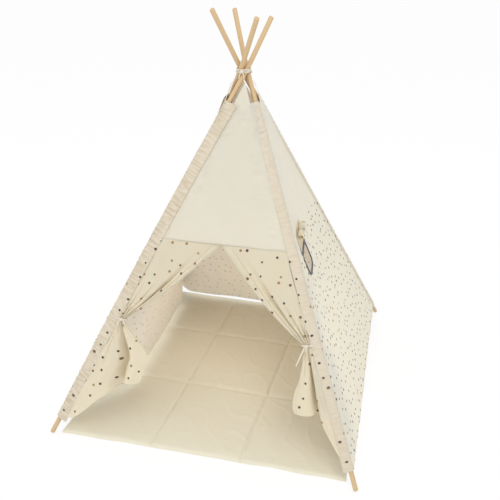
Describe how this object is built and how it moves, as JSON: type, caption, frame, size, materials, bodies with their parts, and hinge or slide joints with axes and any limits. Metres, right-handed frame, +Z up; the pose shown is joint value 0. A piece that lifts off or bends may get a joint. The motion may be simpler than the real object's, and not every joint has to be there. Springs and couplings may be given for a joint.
{
  "type": "kids teepee",
  "caption": "Children's play teepee of crossed wooden poles with a cotton canopy, tied-back door flaps, a small side window and a quilted floor mat.",
  "frame": {"origin": "on the floor, in the middle of the four feet", "axes": "+Z up; -Y towards the door; +X towards the side with the window"},
  "size_m": [1.2122, 1.2122, 1.5412],
  "materials": {
    "pine": "bare, smooth",
    "ferrule": "plain",
    "ivory_cloth": "matt cotton canvas",
    "dotted_cloth": "matt cotton with printed dots",
    "mat_cloth": "quilted cotton",
    "dark_tape": "woven tape",
    "cord": "twisted cotton"
  },
  "bodies": {
    "floor_mat": {"floor_mat": "mat_cloth"},
    "crown": {"crown_lashing": "cord", "crown_knot": "cord", "front_upper_panel": "ivory_cloth", "right_upper_panel": "ivory_cloth", "back_upper_panel": "ivory_cloth", "left_upper_panel": "ivory_cloth", "right_lower_panel": "dotted_cloth", "back_lower_panel": "dotted_cloth", "left_lower_panel": "dotted_cloth", "door_drape_left": "dotted_cloth", "door_drape_right": "dotted_cloth", "door_tie_left": "cord", "door_tie_right": "cord", "window_binding": "dark_tape", "window_strap": "dark_tape", "curtain_header": "dotted_cloth"},
    "pole_front_left": {"lower_pole_front_left": "pine", "upper_pole_front_left": "pine", "ferrule_front_left": "ferrule", "pole_sleeve_front_left": "ivory_cloth"},
    "pole_front_right": {"lower_pole_front_right": "pine", "upper_pole_front_right": "pine", "ferrule_front_right": "ferrule", "pole_sleeve_front_right": "ivory_cloth"},
    "pole_back_right": {"lower_pole_back_right": "pine", "upper_pole_back_right": "pine", "ferrule_back_right": "ferrule", "pole_sleeve_back_right": "ivory_cloth"},
    "pole_back_left": {"lower_pole_back_left": "pine", "upper_pole_back_left": "pine", "ferrule_back_left": "ferrule", "pole_sleeve_back_left": "ivory_cloth"},
    "tail_left": {"door_tail_left": "dotted_cloth"},
    "tail_right": {"door_tail_right": "dotted_cloth"},
    "window_curtain": {"curtain_roll": "dotted_cloth", "curtain_tie": "cord"}
  },
  "joints": [
    {"name": "crown_lift", "type": "slide", "parent": "floor_mat", "child": "crown", "axis": [0, 0, 1], "range_m": [0, 0.43], "deforming": ["door_tail_left", "door_tail_right", "curtain_roll", "curtain_tie"]},
    {"name": "leg_front_left_fold", "type": "hinge", "parent": "crown", "child": "pole_front_left", "pos_m": [0.03054, 0.01546, 1.324], "axis": [0.7071, -0.7071, 0], "range_deg": [0, 25]},
    {"name": "leg_front_right_fold", "type": "hinge", "parent": "crown", "child": "pole_front_right", "pos_m": [0.03054, 0.03654, 1.324], "axis": [0.7071, 0.7071, 0], "range_deg": [0, 25]},
    {"name": "leg_back_right_fold", "type": "hinge", "parent": "crown", "child": "pole_back_right", "pos_m": [0.00946, 0.03654, 1.324], "axis": [-0.7071, 0.7071, 0], "range_deg": [0, 25]},
    {"name": "leg_back_left_fold", "type": "hinge", "parent": "crown", "child": "pole_back_left", "pos_m": [0.00946, 0.01546, 1.324], "axis": [-0.7071, -0.7071, 0], "range_deg": [0, 25]},
    {"name": "tail_left_swing", "type": "hinge", "parent": "pole_front_left", "child": "tail_left", "pos_m": [-0.3851, -0.4037, 0.45715], "axis": [-0.3965, -0.387, -0.8325], "range_deg": [0, 60]},
    {"name": "tail_right_swing", "type": "hinge", "parent": "pole_front_right", "child": "tail_right", "pos_m": [0.40614, -0.3964, 0.45741], "axis": [-0.3614, 0.404, 0.8403], "range_deg": [0, 60]},
    {"name": "curtain_lower", "type": "slide", "parent": "pole_front_right", "child": "window_curtain", "axis": [0.4009, 0.0439, -0.9151], "range_m": [0, 0.15]}
  ],
  "couplings": [
    {"joint": "leg_front_left_fold", "follows": "crown_lift", "rad_per_m": 1},
    {"joint": "leg_front_right_fold", "follows": "crown_lift", "rad_per_m": 1},
    {"joint": "leg_back_right_fold", "follows": "crown_lift", "rad_per_m": 1},
    {"joint": "leg_back_left_fold", "follows": "crown_lift", "rad_per_m": 1}
  ]
}
